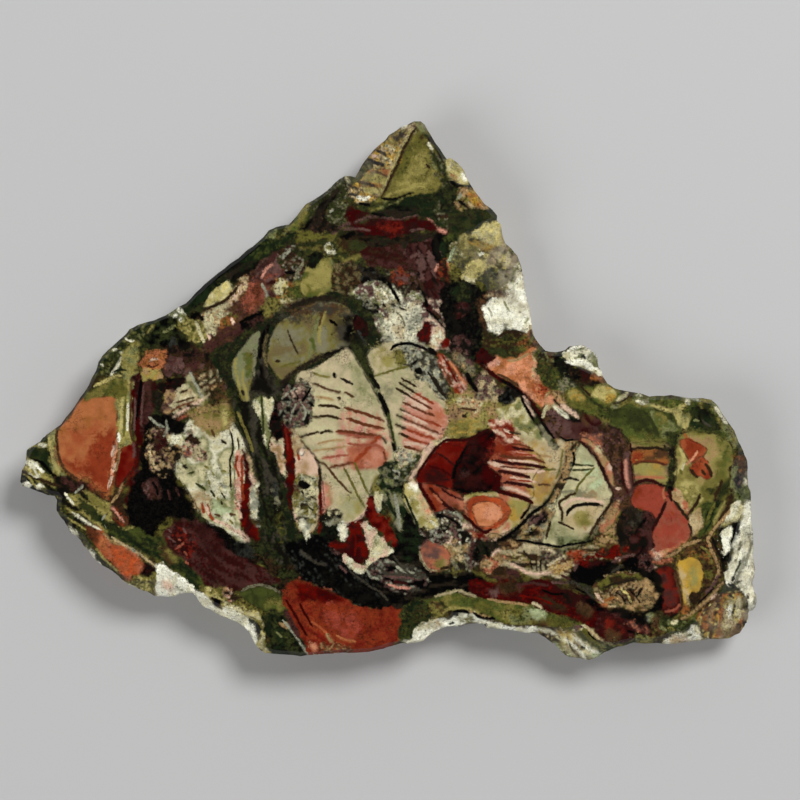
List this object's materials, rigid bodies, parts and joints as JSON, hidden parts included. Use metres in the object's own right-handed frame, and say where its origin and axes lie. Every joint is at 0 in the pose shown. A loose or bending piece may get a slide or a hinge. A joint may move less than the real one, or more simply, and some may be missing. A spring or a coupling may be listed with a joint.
{
  "type": "picture jasper slab",
  "caption": "Flat slab of picture jasper with a polished, many-coloured face, a rough natural rim and a sawn flat back to lie on.",
  "frame": {"origin": "under the middle of the slab's box, on the sawn back that it lies on", "axes": "+Z out of the polished face, +X along the slab's length towards its broad end, +Y towards its pointed tip"},
  "size_m": [0.148, 0.108, 0.012],
  "materials": {
    "jasper": "polished face with cream, brick red, maroon, olive and black markings; dull white and brown natural rim; matte sawn back"
  },
  "bodies": {
    "root": {"picture_jasper_slab": "jasper"}
  },
  "joints": []
}
